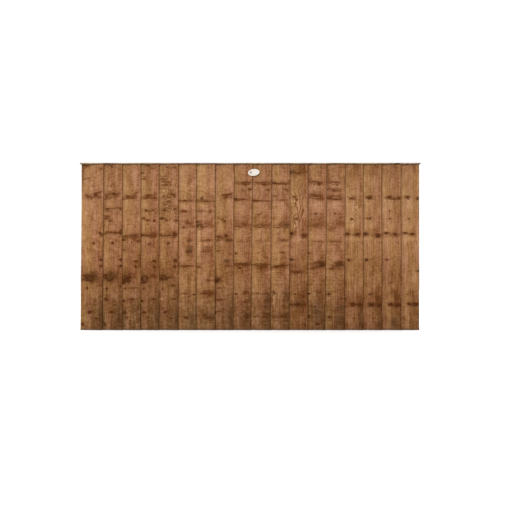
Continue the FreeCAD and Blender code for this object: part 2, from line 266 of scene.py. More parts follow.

# Smudges of dark grime, round bruised knots and where water has run at the foot, and one of painted shade
# along board 1's thin edge near the top
BOARD_GRIME_AND_SHADE = {
    # Board 1's last smudge, by its thin edge near the top, is painted shade along the panel's end
    1: ((60, 286, 58, 38), (112, 70, 14, 90), (5, 830, 9, 80)),
    2: ((56, 286, 48, 36), (104, 60, 16, 50), (18, 50, 12, 50)),
    3: ((44, 276, 30, 34), (26, 50, 12, 60)),
    4: ((40, 276, 28, 30), (72, 236, 14, 9), (110, 70, 13, 70)),
    5: ((42, 280, 38, 28), (88, 240, 20, 8), (112, 55, 13, 60)),
    6: ((86, 434, 20, 24), (104, 50, 20, 50)),
    7: ((34, 570, 12, 18), (92, 70, 34, 24)),
    8: ((34, 268, 20, 18, 40), (92, 481, 24, 8), (84, 374, 24, 10), (108, 50, 16, 50)),
    9: ((90, 356, 26, 9), (99, 62, 20, 40)),
    10: ((104, 150, 18, 60), (110, 60, 14, 50)),
    11: ((104, 563, 20, 16), (104, 190, 18, 36), (104, 70, 18, 30)),
    12: ((36, 848, 26, 18), (64, 140, 30, 16)),
    13: ((96, 352, 26, 18), (80, 100, 30, 60), (20, 20, 12, 20)),
    14: ((92, 352, 30, 16), (100, 122, 20, 20), (92, 50, 26, 36)),
    15: ((104, 132, 14, 12), (108, 50, 14, 50)),
    16: ((112, 326, 9, 20), (60, 133, 18, 14), (106, 131, 14, 12), (108, 40, 12, 40)),
    17: ((100, 132, 18, 11), (84, 40, 22, 40)),
    18: ((98, 134, 18, 10),),
}

# Curly grain, with wavy dark lines
BOARD_WAVES = {
    11: ((40, 184, 26, 40),),
    12: ((66, 650, 50, 130),),
}

# Torn grain, with pale flecks
BOARD_FLECKS = {
    5: ((56, 760, 44, 50), (80, 640, 36, 50), (84, 560, 24, 16)),
    10: ((26, 764, 14, 6), (40, 704, 18, 6)),
    11: ((34, 704, 20, 6), (36, 200, 24, 24)),
    12: ((40, 740, 18, 18), (50, 690, 24, 24), (50, 560, 30, 24)),
    13: ((54, 764, 44, 14), (64, 200, 30, 10)),
    14: ((62, 772, 44, 10),),
    15: ((60, 724, 40, 26), (60, 590, 40, 30), (34, 662, 12, 20), (90, 640, 20, 40)),
    17: ((28, 613, 16, 7), (40, 536, 20, 8)),
}

# For each board: the baulk it was sawn from, how light it is, how wide its pale sapwood strip is, in mm,
# how deep the painted seam shade along its thick edge is and how golden its wood is
BOARD_TIMBER = (
    ("first", 0.02, 34, 0.6, 0.05), ("first", -0.02, 40, 0.4, 0.0), ("first", 0.01, 46, 1.2, 0.0),
    ("first", -0.02, 42, 0.8, 0.0), ("first", -0.02, 30, 1.0, 0.08), ("second", 0.03, 48, 1.3, 0.14),
    ("second", 0.03, 42, 1.4, 0.07), ("first", 0.0, 40, 1.1, 0.0), ("second", -0.01, 36, 0.7, -0.06),
    ("second", 0.02, 36, 1.5, 0.0), ("second", 0.02, 44, 0.7, 0.03), ("third", -0.02, 30, 1.9, 0.0),
    ("second", -0.01, 38, 1.0, -0.08), ("second", -0.01, 36, 1.3, -0.12), ("third", 0.02, 34, 0.5, 0.07),
    ("third", 0.01, 42, 1.3, 0.0), ("third", 0.03, 48, 1.2, 0.0), ("third", 0.07, 40, 0.6, 0.1),
)
# A baulk's figure: a number that sets its grain apart, how strong its cross bars, streaks and mottle are,
# how grey the damp makes its foot and how golden it is
Figure = namedtuple("Figure", "seed bars streaks mottle grey gold", defaults=(0.0,))
BAULKS = {
    "first": Figure(3.0, 0.22, 0.34, 0.45, 1.45),
    "second": Figure(17.0, 0.46, 0.34, 0.42, 1.1),
    "third": Figure(31.0, 0.2, 0.44, 0.35, 0.5),
}
SEED_STEP = 0.23  # from one board to the next
FRAME_FIGURE = Figure(50.0, 0.2, 0.7, 0.5, 1.0)
FRAME_LEVEL = 0.5
FRAME_DRAW = 40  # starts the random draws of its first timber
CAP_FIGURE = Figure(70.0, 0.1, 0.8, 0.5, 0.0)
CAP_LEVEL = 0.8
CAP_DRAW = 60  # starts its random draws
FRAME_LIES = {"left_stile": "upright", "right_stile": "upright", "top_rail": "on_edge",
              "middle_rail": "on_edge", "bottom_rail": "on_edge"}

# Patches that are lighter or darker than the board round them, by hundredths
Patch = namedtuple("Patch", "across height half_length half_height change tilt", defaults=(0,))
BOARD_PATCHES = {
    # Board 1's first patch, by its thin edge near the top, is painted shade along the panel's end
    1: ((8, 830, 12, 70, -10), (28, 660, 16, 70, 10), (106, 395, 18, 50, -14), (16, 350, 20, 50, -12),
        (62, 306, 54, 30, -14), (60, 354, 40, 18, -8), (80, 270, 44, 30, -10), (108, 70, 12, 50, -14)),
    2: ((60, 820, 50, 60, -5), (38, 434, 16, 30, 10), (62, 306, 54, 30, -13), (108, 108, 14, 30, -10),
        (84, 280, 40, 30, -10), (104, 60, 14, 40, -14)),
    3: ((40, 855, 12, 40, -10), (76, 850, 24, 44, 5), (50, 640, 12, 70, -9), (96, 490, 26, 22, -14),
        (72, 440, 24, 50, -10), (88, 356, 32, 24, -12), (38, 306, 34, 30, -15), (108, 112, 14, 30, -12),
        (66, 390, 22, 24, -10), (88, 302, 24, 20, -12), (106, 66, 12, 30, -12), (30, 116, 14, 26, -12)),
    4: ((92, 545, 22, 22, -8), (100, 480, 22, 26, -7), (88, 356, 32, 22, -12), (60, 306, 50, 30, -11),
        (84, 455, 26, 22, -10), (32, 114, 14, 26, -12)),
    5: ((30, 800, 22, 60, -4), (70, 704, 46, 44, 14), (34, 640, 20, 40, -7), (24, 480, 20, 30, -7),
        (62, 306, 50, 30, -11), (28, 114, 14, 26, -12), (30, 168, 16, 6, 30)),
    6: ((26, 640, 14, 60, 8), (84, 574, 34, 22, -18), (30, 500, 14, 60, 8), (44, 300, 24, 220, 7),
        (82, 405, 26, 30, -17), (82, 330, 26, 30, -10), (74, 368, 44, 18, -12), (64, 174, 50, 16, -8),
        (80, 815, 24, 44, -8), (70, 284, 26, 26, -12), (84, 512, 22, 20, -10), (88, 872, 22, 30, 12),
        (74, 664, 44, 22, 12), (58, 108, 24, 24, 10)),
    7: ((29, 480, 9, 130, 22), (32, 320, 14, 160, 8), (72, 570, 44, 18, -15), (78, 400, 28, 24, -12),
        (66, 640, 44, 40, 5), (80, 368, 40, 18, -13), (70, 174, 46, 14, -8), (66, 456, 40, 18, 15)),
    8: ((94, 795, 28, 60, 16), (90, 690, 26, 40, 6), (57, 596, 24, 26, -13), (104, 620, 14, 60, 8),
        (66, 432, 26, 34, -13), (100, 312, 20, 24, -10), (64, 178, 44, 14, -7)),
    9: ((66, 588, 54, 28, -10), (76, 563, 52, 10, -8), (50, 318, 44, 22, -10), (66, 210, 52, 32, 15),
        (35, 630, 12, 50, 10)),
    10: ((50, 800, 30, 25, -5), (62, 660, 30, 30, -4), (66, 586, 54, 28, -10), (70, 560, 52, 9, -8),
         (64, 440, 32, 50, -10), (60, 322, 50, 22, -13), (62, 208, 50, 32, 15)),
    11: ((60, 632, 40, 50, 10), (96, 580, 30, 28, -12), (32, 420, 12, 60, 8), (90, 320, 30, 24, -13),
         (70, 210, 44, 32, 14), (42, 150, 16, 40, 8)),
    12: ((60, 860, 60, 40, -10), (66, 660, 44, 80, 7), (60, 496, 26, 22, 20), (100, 400, 18, 46, -12),
         (80, 334, 42, 30, -16), (66, 190, 44, 40, -7), (88, 736, 14, 24, 10)),
    13: ((60, 850, 60, 45, -5), (26, 755, 12, 20, 18), (56, 676, 40, 22, 13), (66, 580, 50, 30, -9),
         (66, 496, 48, 26, 15), (100, 664, 14, 46, 15), (112, 205, 12, 40, 10), (84, 116, 18, 22, 12)),
    14: ((60, 850, 60, 45, -5), (62, 680, 46, 20, 13), (90, 575, 36, 30, -10), (66, 505, 45, 22, 6),
         (110, 636, 14, 40, 12), (33, 607, 16, 36, 10), (84, 202, 20, 26, 12)),
    15: ((60, 850, 60, 50, -6), (90, 790, 24, 50, -12), (62, 690, 44, 70, 7), (56, 538, 36, 12, -8),
         (68, 490, 34, 14, 18), (30, 440, 18, 40, -16), (30, 330, 20, 26, -24), (40, 172, 30, 22, -9),
         (108, 334, 18, 34, -10), (100, 210, 18, 50, 11), (92, 110, 20, 18, 10)),
    16: ((60, 850, 60, 60, -6), (92, 700, 36, 60, 8), (56, 540, 36, 12, -10), (66, 482, 44, 16, 10),
         (26, 330, 26, 34, -20), (90, 350, 36, 60, -12), (50, 172, 40, 22, -13), (110, 640, 14, 40, 14),
         (84, 620, 26, 50, 7), (92, 116, 20, 14, 10), (70, 450, 40, 22, 6)),
    17: ((60, 830, 60, 70, -11), (84, 680, 44, 50, 5), (66, 482, 44, 16, 9), (60, 350, 52, 50, -8),
         (90, 290, 26, 50, -16), (28, 640, 12, 40, 14), (44, 190, 24, 26, -12), (100, 186, 24, 30, -12),
         (100, 108, 18, 16, 10), (66, 450, 44, 22, 6)),
    18: ((70, 830, 50, 80, -12), (84, 680, 44, 60, 5), (68, 490, 38, 14, 16), (112, 560, 12, 330, 10),
         (62, 190, 26, 24, -9), (76, 282, 34, 36, 8), (92, 440, 24, 30, 8)),
}

# Layers of the wood's figure: cycles a metre across and along the grain, and the noise's detail, roughness
# and distortion
Layer = namedtuple("Layer", "across along detail roughness distortion", defaults=(2.0, 0.5, 0.0))
LAYERS = {
    "broad": Layer(26.0, 2.4, 3.0, 0.55),
    "blotch": Layer(24.0, 13.0, 4.0, 0.65),
    "strand": Layer(120.0, 8.0, 3.0, 0.6),
    "hair": Layer(420.0, 12.0, 4.0, 0.65),
    "mottle": Layer(70.0, 75.0, 4.0, 0.65),
    "bar": Layer(20.0, 100.0, 3.0, 0.6, 0.6),
    "bend": Layer(12.0, 1.6),
    "wander": Layer(26.0, 22.0),
    "ringed": Layer(20.0, 5.0),
    "tint": Layer(17.0, 2.4),
    "tint_patch": Layer(32.0, 10.0, 3.0, 0.6),
    "wisp": Layer(24.0, 120.0, 3.0, 0.6, 1.2),
    "curl": Layer(60.0, 100.0, 3.0, 0.6, 0.8),
    "fibre": Layer(75.0, 230.0, 4.0, 0.65),
    "fleck": Layer(135.0, 110.0, 3.0, 0.6, 0.8),
    "run": Layer(34.0, 2.6),
    "saw": Layer(9.0, 520.0, 3.0, 0.6),
}
# How much layers change the wood's lightness. Two are shares of the baulk's own streaks and mottle
BROAD_SWING = 0.4
BLOTCH_SWING = 0.55
HAIR_SHARE = 1.6
FIBRE_SHARE = 1.5
# Growth rings and wavy grain cross a face as lines: radians a metre, and how far a layer shifts them
RING_PITCH = 760.0
RING_BEND = 34.0
LATE_WOOD_FALL = 0.1
WAVE_PITCH = 330.0
WAVE_BEND = 17.0
RIPPLE_TURNS = 2.7
FLECK_COVER = 0.9
END_RING_PITCH = 1500.0
# In metres: how deep each material's relief is, and where the darkening round the plaque's pins starts and
# is full
WOOD_RELIEF = 0.0009
END_RELIEF = 0.0008
STEEL_RELIEF = 0.0002
PLASTIC_RELIEF = 0.00008
PIN_DARK_RADII = (0.013, 0.002)


class Nodes:
    """Adds and links one material's nodes. A value given for an input is a number, a colour or a link."""

    def __init__(self, name):
        self.material = bpy.data.materials.new(name)
        self.material.use_nodes = True
        self.tree = self.material.node_tree
        self.tree.nodes.clear()

    def node(self, kind, inputs, **settings):
        node = self.tree.nodes.new(kind)
        for key, value in settings.items():
            setattr(node, key, value)
        for key, value in inputs.items():
            if isinstance(value, bpy.types.NodeSocket):
                self.tree.links.new(value, node.inputs[key])
            else:
                node.inputs[key].default_value = value
        return node

    def add(self, kind, inputs, output=0, **settings):
        return self.node(kind, inputs, **settings).outputs[output]

    def attribute(self, name, output="Vector"):
        return self.add("ShaderNodeAttribute", {}, output, attribute_name=name)

    def math(self, operation, first, second=0.0, third=0.0):
        return self.add("ShaderNodeMath", {0: first, 1: second, 2: third}, operation=operation)

    def times(self, first, second):
        return self.math("MULTIPLY", first, second)

    def vector(self, operation, first, second):
        return self.add("ShaderNodeVectorMath", {0: first, 1: second}, operation=operation)

    def scaled(self, vector, factors):
        return self.vector("MULTIPLY", vector, factors)

    def length(self, vector):
        return self.add("ShaderNodeVectorMath", {0: vector}, "Value", operation="LENGTH")

    def point(self):
        return self.add("ShaderNodeTexCoord", {}, "Object")

    def parts(self, vector):
        return self.node("ShaderNodeSeparateXYZ", {0: vector}).outputs

    def noise(self, vector, detail=2.0, roughness=0.5, distortion=0.0, output=0):
        inputs = {"Vector": vector, "Scale": 1.0, "Detail": detail, "Roughness": roughness,
                  "Distortion": distortion}
        return self.add("ShaderNodeTexNoise", inputs, output)

    def speckle(self, pitch, detail=2.0, roughness=0.5):
        """Noise that has the same pitch, in cycles a metre, every way."""
        return self.noise(self.scaled(self.point(), (pitch, pitch, pitch)), detail, roughness)

    def layer(self, name):
        """One layer of the wood's figure."""
        layer = LAYERS[name]
        stretched = self.scaled(self.attribute("grain"), (layer.across, layer.along, 1.0))
        return self.noise(stretched, layer.detail, layer.roughness, layer.distortion)

    def spread(self, value, low, high, to_low=0.0, to_high=1.0):
        inputs = {0: value, 1: low, 2: high, 3: to_low, 4: to_high}
        return self.add("ShaderNodeMapRange", inputs, interpolation_type="SMOOTHSTEP")

    def swing(self, base, *swings):
        """The base, moved by each value's strength times how far the value is from a half."""
        for value, strength in swings:
            base = self.math("MULTIPLY_ADD", self.math("SUBTRACT", value, 0.5), strength, base)
        return base

    def mix(self, factor, first, second, blend="MIX"):
        inputs = {0: factor, 6: first, 7: second}
        return self.add("ShaderNodeMix", inputs, 2, data_type="RGBA", blend_type=blend)

    def ramp(self, value, stops):
        node = self.node("ShaderNodeValToRGB", {0: value})
        elements = node.color_ramp.elements
        while len(elements) < len(stops):
            elements.new(1.0)
        for element, (place, colour) in zip(elements, stops):
            element.position = place
            element.color = colour
        return node.outputs[0]

    def bump(self, height, depth, strength):
        return self.add("ShaderNodeBump", {"Height": height, "Distance": depth, "Strength": strength})

    def surface(self, inputs):
        shader = self.add("ShaderNodeBsdfPrincipled", inputs)
        self.node("ShaderNodeOutputMaterial", {"Surface": shader})
        return self.material


def paint(red, green, blue):
    """The linear colour of a surface that shows this colour, 0 to 255, in the studio's light."""
    def linear(shown):
        share = shown / 255
        return share / 12.92 if share <= 0.04045 else ((share + 0.055) / 1.055) ** 2.4
    return tuple(linear(shown) / STUDIO_LEVEL for shown in (red, green, blue)) + (1.0,)


WOOD_TONES = (
    (0.0, paint(76, 38, 10)),
    (0.25, paint(111, 66, 33)),
    (0.5, paint(146, 100, 65)),
    (0.75, paint(171, 125, 88)),
    (1.0, paint(199, 155, 116)),
)
WEATHERED_TONES = (
    (0.0, paint(62, 47, 34)),
    (0.5, paint(112, 88, 66)),
    (1.0, paint(168, 144, 120)),
)
MAUVE_CAST = (0.985, 0.985, 1.14, 1.0)
GOLD_CAST = (0.96, 1.03, 0.9, 1.0)
DAMP_CAST = (0.86, 1.02, 1.1, 1.0)
SUN_CAST = (0.982, 1.004, 1.035, 1.0)
# Painted seam shade: makes the colour along a board's thick edge deeper and warmer
SEAM_SHADE_CAST = (1.0, 0.93, 0.8, 1.0)
SMEAR_COLOUR = paint(77, 40, 12)
KNOT_CORE = paint(92, 46, 12)
KNOT_RING = paint(39, 17, 2)
FOOT_SHADE_GREY = paint(84, 68, 50)
# Painted shade: colour of the grey band along the foot
PALE_FLECK = paint(204, 162, 118)
NAIL_ZINC = paint(116, 84, 58)
NAIL_RUST = paint(88, 55, 32)
PIN_STEEL = paint(70, 62, 54)
PIN_TARNISH = paint(44, 34, 26)
PLAQUE_WHITE = paint(202, 194, 184)
PLAQUE_STAIN = paint(166, 150, 130)
PIN_DARKENING = paint(120, 98, 76)
FLOOR_GREYS = ((0.86, 0.86, 0.86, 1.0), (0.9, 0.9, 0.9, 1.0))

# What stains and grime lay over the wood: a soft cover all over and a dense one in wisps, which has a blur
# and sets in between two amounts
Veil = namedtuple("Veil", "colour soft dense blur start")
STAIN_VEIL = Veil(paint(87, 44, 12), 0.25, 0.85, 0.5, (0.02, 0.2))
GRIME_AND_SHADE_VEIL = Veil(paint(68, 47, 25), 0.4, 0.55, 0.8, (0.05, 0.4))


def grain_lines(nodes, pitch, bend, layer):
    """The angle whose sine draws lines along the grain, with a layer that bends them."""
    straight = nodes.times(nodes.parts(nodes.attribute("grain"))[0], pitch)
    return nodes.math("MULTIPLY_ADD", nodes.layer(layer), bend, straight)


def wood_colour(nodes, tones, tone, across, hair, fibre):
    """Colour of the wood where knots and stains leave it alone, and its late wood's lines for the relief."""
    rings = grain_lines(nodes, RING_PITCH, RING_BEND, "bend")
    late = nodes.spread(nodes.math("SINE", rings), 0.1, 1.0)
    ringed = nodes.spread(nodes.layer("ringed"), 0.4, 0.6, 0.0, -LATE_WOOD_FALL)
    tone = nodes.math("MULTIPLY_ADD", late, ringed, tone)

    blotch = nodes.layer("blotch")
    curve = grain_lines(nodes, WAVE_PITCH, WAVE_BEND, "wander")
    wave = nodes.swing(nodes.math("SINE", curve), (hair, 2.2), (fibre, 1.6))
    ripple = nodes.math("SINE", nodes.times(curve, RIPPLE_TURNS))
    lines = nodes.swing(0.2, (nodes.spread(wave, 0.1, 1.3), 0.4), (nodes.spread(ripple, -0.2, 1.0), 0.14))
    depth = nodes.times(nodes.attribute("wavy", "Fac"), nodes.spread(blotch, 0.3, 0.6, -0.35, -1.15))
    tone = nodes.math("MULTIPLY_ADD", lines, depth, tone)

    bars, streaks, mottle = nodes.parts(nodes.attribute("figure"))
    tone = nodes.swing(
        tone,
        (nodes.layer("broad"), BROAD_SWING),
        (blotch, BLOTCH_SWING),
        (nodes.layer("bar"), bars),
        (nodes.layer("strand"), streaks),
        (hair, nodes.times(streaks, HAIR_SHARE)),
        (nodes.layer("mottle"), mottle),
        (fibre, nodes.times(mottle, FIBRE_SHARE)),
    )
    tint = nodes.swing(0.5, (nodes.layer("tint"), 1.7), (nodes.layer("tint_patch"), 1.5), (across, -0.25))
    tint = nodes.math("ADD", tint, nodes.attribute("gold", "Fac"))
    cast = nodes.mix(nodes.spread(tint, 0.15, 0.85), MAUVE_CAST, GOLD_CAST)
    return nodes.mix(1.0, nodes.ramp(tone, tones), cast, "MULTIPLY"), late


def mark_reach(nodes, kind, waves):
    """Distance from the nearest mark of a kind, made uneven by waves, whether one is near, and the way."""
    offset = nodes.attribute(kind + "_offset")
    for pitch, reach in waves:
        spots = nodes.noise(nodes.scaled(nodes.attribute("grain"), (pitch, pitch, 1.0)), output="Color")
        middle = nodes.vector("SUBTRACT", spots, (0.5, 0.5, 0.5))
        offset = nodes.vector("ADD", offset, nodes.scaled(middle, (reach, reach, 0.0)))
    near = nodes.spread(nodes.attribute(kind + "_range", "Fac"), *NEAR_RANGE)
    return nodes.length(offset), near, offset


def veiled(nodes, colour, veil, amount, wisps):
    """Lays a veil over a colour: softly by its amount, and densely where its wisps are."""
    colour = nodes.mix(nodes.times(amount, veil.soft), colour, veil.colour)
    dense = nodes.spread(wisps, 0.0, veil.blur, 0.0, veil.dense)
    return nodes.mix(nodes.times(dense, nodes.spread(amount, *veil.start)), colour, veil.colour)


def stained(nodes, colour, hair, fibre, faint):
    """Lays stains and grime, with one mark of painted shade, over a colour as wisps across the board, and
    then the smears.
    """
    wisp = nodes.layer("wisp")
    curl = nodes.layer("curl")
    stain = nodes.attribute("stain", "Fac")
    wisps = nodes.swing(0.0, (stain, 1.0), (wisp, 2.8), (curl, 1.8), (hair, 1.4), (fibre, 1.0))
    colour = veiled(nodes, colour, STAIN_VEIL, stain, wisps)
    # grime also carries one mark of painted shade, along board 1's thin edge near the top
    grime = nodes.attribute("grime", "Fac")
    smudges = nodes.swing(0.0, (grime, 1.0), (curl, 2.2), (wisp, 1.4), (hair, 1.2))
    colour = veiled(nodes, colour, GRIME_AND_SHADE_VEIL, grime, smudges)

    reach, near, offset = mark_reach(nodes, "smear", SMEAR_WAVES)
    lengthwise = nodes.vector("ADD", nodes.scaled(offset, SMEAR_STREAKS), nodes.attribute("grain"))
    streak = nodes.noise(lengthwise, 4.0, 0.65)
    reach = nodes.swing(reach, (hair, 1.0), (fibre, 0.9), (streak, 2.2))
    smear = nodes.times(nodes.spread(reach, *SMEAR_EDGE, 0.0, SMEAR_COVER), near)
    smear = nodes.times(smear, faint)
    smear_colour = nodes.mix(nodes.spread(streak, 0.42, 0.62), SMEAR_COLOUR, STAIN_VEIL.colour)
    return nodes.mix(smear, colour, smear_colour)


def knotted(nodes, colour, hair, fibre, faint):
    """Lays the knots over a colour. Gives the new colour and how far each point is inside a knot."""
    reach, near, _ = mark_reach(nodes, "knot", KNOT_WAVES)
    reach = nodes.swing(reach, (hair, 0.6), (fibre, 0.5))
    core = nodes.times(nodes.spread(reach, *KNOT_EDGE), near)
    off_rim = nodes.math("ABSOLUTE", nodes.math("SUBTRACT", reach, KNOT_RIM))
    rim = nodes.spread(off_rim, RIM_BLUR, 0.0, 0.0, RIM_COVER)
    turns = nodes.times(reach, RING_TURNS)
    rings = nodes.spread(nodes.math("SINE", turns), -0.6, 1.0, 0.0, RING_COVER)
    ringed = nodes.mix(nodes.math("MAXIMUM", rim, rings), KNOT_CORE, KNOT_RING)
    return nodes.mix(nodes.times(core, faint), colour, ringed), core


def treated_wood(name, foot_damp, tones=WOOD_TONES, seam_shade_depth=0.0):
    """Rough sawn treated softwood, with knots, stains, wavy and torn grain where the mesh says they are."""
    nodes = Nodes(name)
    across, height, tone = nodes.parts(nodes.attribute("place"))
    hair = nodes.layer("hair")
    fibre = nodes.layer("fibre")
    runs = nodes.swing(0.5, (across, 0.8), (nodes.layer("run"), 1.6))
    runs = nodes.spread(runs, 0.0, 1.0, LEAST_RUN, 1.0)
    damp = nodes.times(nodes.spread(height, DAMP_HEIGHT, 0.0, 0.0, foot_damp), runs)
    tone = nodes.math("MULTIPLY_ADD", damp, -DAMP_FALL, tone)
    colour, late = wood_colour(nodes, tones, tone, across, hair, fibre)

    flecks = nodes.swing(nodes.layer("fleck"), (hair, 0.5), (fibre, 0.3))
    flecks = nodes.spread(flecks, 0.5, 0.7, 0.0, FLECK_COVER)
    flecks = nodes.times(flecks, nodes.attribute("flecked", "Fac"))
    colour = nodes.mix(flecks, colour, PALE_FLECK)
    greyed = nodes.times(damp, nodes.attribute("grey", "Fac"))
    colour = nodes.mix(greyed, colour, DAMP_CAST, "MULTIPLY")
    colour = nodes.mix(nodes.spread(height, *SUN_HEIGHTS), colour, SUN_CAST, "MULTIPLY")
    # Painted shade: a grey band along the foot, where the panel meets the floor
    foot_shade = nodes.spread(height, FOOT_SHADE_HEIGHT, 0.0, 0.0, FOOT_SHADE_COVER * foot_damp)
    colour = nodes.mix(foot_shade, colour, FOOT_SHADE_GREY)
    # Painted seam shade along a board's thick edge: deeper, warmer colour
    colour = nodes.mix(nodes.spread(across, *SEAM_SHADE_SHARES, 0.0, seam_shade_depth), colour, SEAM_SHADE_CAST, "MULTIPLY")
    faint = nodes.spread(height, *FAINT_HEIGHTS, 1.0, FAINT_SHARE)
    colour = stained(nodes, colour, hair, fibre, faint)
    colour, core = knotted(nodes, colour, hair, fibre, faint)

    saw = nodes.layer("saw")
    relief = nodes.swing(0.5, (hair, 0.7), (saw, 0.45), (late, 0.25), (fibre, 0.25), (core, -0.3))
    return nodes.surface({
        "Base Color": colour,
        "Roughness": nodes.swing(0.82, (hair, 0.16), (fibre, 0.12), (core, -0.15)),
        "Specular IOR Level": 0.04,
        "Normal": nodes.bump(relief, WOOD_RELIEF, 0.7),
    })


def end_grain():
    """Sawn end of a softwood timber: arcs of growth rings, darker than the faces."""
    nodes = Nodes("end_grain")
    point = nodes.point()
    warp = nodes.noise(nodes.scaled(point, (30.0, 60.0, 60.0)))
    distance = nodes.length(nodes.scaled(point, (1.0, 3.5, 1.0)))
    phase = nodes.math("MULTIPLY_ADD", warp, 9.0, nodes.times(distance, END_RING_PITCH))
    rings = nodes.spread(nodes.math("SINE", phase), -0.8, 1.0)
    fibre = nodes.speckle(900.0, 3.0, 0.6)
    blotch = nodes.speckle(40.0)
    tone = nodes.swing(0.28, (rings, -0.22), (fibre, 0.3), (blotch, 0.3))
    height = nodes.swing(0.5, (fibre, 0.8), (rings, 0.4))
    return nodes.surface({
        "Base Color": nodes.ramp(tone, WOOD_TONES),
        "Roughness": nodes.swing(0.86, (fibre, 0.15)),
        "Specular IOR Level": 0.2,
        "Normal": nodes.bump(height, END_RELIEF, 0.7),
    })


def nail_steel(name, clean, tarnish, shine, rough):
    """Dull zinc with a brown bloom of rust and treatment."""
    nodes = Nodes(name)
    bloom = nodes.speckle(160.0, 4.0, 0.65)
    grit = nodes.speckle(1900.0, 3.0, 0.6)
    rust = nodes.spread(nodes.swing(0.5, (bloom, 1.0), (grit, 0.5)), 0.3, 0.62)
    return nodes.surface({
        "Base Color": nodes.mix(rust, clean, tarnish),
        "Metallic": nodes.spread(rust, 0.0, 1.0, shine, 0.0),
        "Roughness": nodes.swing(rough, (grit, 0.2), (rust, 0.25)),
        "Specular IOR Level": 0.15,
        "Normal": nodes.bump(grit, STEEL_RELIEF, 0.5),
    })


def plaque_plastic():
    """White moulded plastic, a little dulled and stained by the weather."""
    nodes = Nodes("plaque_plastic")
    point = nodes.point()
    grime = nodes.noise(nodes.scaled(point, (70.0, 70.0, 38.0)), 4.0, 0.6)
    orange_peel = nodes.speckle(900.0)
    dulled = nodes.spread(grime, 0.5, 0.85, 0.0, 0.5)
    low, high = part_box("plaque_pins")
    middle = (low + high) / 2
    way = nodes.scaled(nodes.vector("SUBTRACT", point, middle), (1.0, 0.0, 1.0))
    # Darker round the pins
    pin_dark = nodes.spread(nodes.length(way), *PIN_DARK_RADII, 0.0, 0.5)
    colour = nodes.mix(dulled, PLAQUE_WHITE, PLAQUE_STAIN)
    return nodes.surface({
        "Base Color": nodes.mix(pin_dark, colour, PIN_DARKENING),
        "Roughness": nodes.swing(0.55, (grime, 0.25), (orange_peel, 0.1)),
        "Specular IOR Level": 0.35,
        "Normal": nodes.bump(orange_peel, PLASTIC_RELIEF, 0.4),
    })


def studio_floor():
    """Pale matt floor with the faintest unevenness."""
    nodes = Nodes("studio_floor")
    cloud = nodes.speckle(1.5)
    return nodes.surface({
        "Base Color": nodes.mix(cloud, *FLOOR_GREYS),
        "Roughness": nodes.swing(0.9, (cloud, 0.05)),
        "Specular IOR Level": 0.1,
    })


def grid_lines(length, step, arris):
    """Shares of a length at which a timber's grid has its lines, with a narrow line along each edge."""
    edge = arris / length
    inner = np.linspace(edge, 1 - edge, max(2, round(length / step)))
    return np.concatenate(([0.0], inner, [1.0]))


def drift(random, along, across, cells_along, cells_across):
    """Smooth random numbers from -1 to 1 on a grid whose lines are at these shares."""
    values = random.uniform(-1, 1, (cells_along + 2, cells_across + 2))
    for shares, count in ((along, cells_along), (across, cells_across)):
        place = shares * count
        cell = np.floor(place).astype(int)
        rest = place - cell
        ease = (rest * rest * (3 - 2 * rest))[:, None]
        values = (values[cell] * (1 - ease) + values[cell + 1] * ease).T
    return values


def mark_frame(mark, across, along):
    """How far each point lies from a mark along its length and height, in mark sizes."""
    sideways = across - mark.across * MM
    upward = along - mark.height * MM
    turn = math.radians(mark.tilt)
    level = sideways * math.cos(turn) + upward * math.sin(turn)
    rise = upward * math.cos(turn) - sideways * math.sin(turn)
    return level / (mark.half_length * MM), rise / (mark.half_height * MM)


def bell(mark, across, along, reach=(1.0, 1.0), powers=SOFT_EDGES):
    """1 in the middle of a mark, and less further out. It reaches this far along and up, in mark sizes."""
    ways = zip(mark_frame(mark, across, along), reach, powers)
    return np.exp(-sum(np.abs(way / far) ** power for way, far, power in ways))


def nearest_mark(marks, across, along):
    """The way from the nearest mark to each point and how long it is, in mark sizes."""
    offset = np.full(across.shape + (3,), FAR_OFF)
    nearest = np.full(across.shape, FAR_OFF)
    for mark in marks:
        level, rise = mark_frame(mark, across, along)
        distance = np.hypot(level, rise)
        closer = distance < nearest
        nearest[closer] = distance[closer]
        offset[closer] = np.stack((level, rise, np.zeros_like(level)), -1)[closer]
    return offset, np.minimum(nearest, RANGE_LIMIT)


def inside_marks(marks, across, along, powers=SOFT_EDGES):
    """How far inside any of the marks each point is, from 0 to 1."""
    inside = np.zeros_like(across)
    for mark in marks:
        inside = np.maximum(inside, bell(mark, across, along, powers=powers))
    return inside


def wood_fields(across, along, marks, seed):
    """The attributes that the wood materials read, for points at these places on a timber."""
    bent = across.copy()
    clear = np.ones_like(across)
    smears = [mark for mark in marks.knots if mark.half_length > SMEAR_SHAPE * mark.half_height]
    knots = [mark for mark in marks.knots if mark not in smears]
    for knot in knots:
        level, _ = mark_frame(knot, across, along)
        bent -= GRAIN_PUSH * bell(knot, across, along, GRAIN_REACH) * level * knot.half_length * MM
    for group, reach in ((knots, KNOT_HALO), (smears, SMEAR_HALO)):
        for mark in group:
            clear *= 1 - HALO_STRENGTH * bell(mark, across, along, reach)
    for mark in marks.stains:
        clear *= 1 - STAIN_STRENGTH * bell(mark, across, along, powers=SHARP_ENDS)
    fields = {
        "grain": np.stack((bent, along, np.full_like(across, seed)), -1),
        "stain": 1 - clear,
        "grime": inside_marks(marks.grimes, across, along),
        "wavy": inside_marks(marks.waves, across, along, SHARP_EDGES),
        "flecked": inside_marks(marks.flecks, across, along),
    }
    for kind, group in (("knot", knots), ("smear", smears)):
        fields[kind + "_offset"], fields[kind + "_range"] = nearest_mark(group, across, along)
    return fields


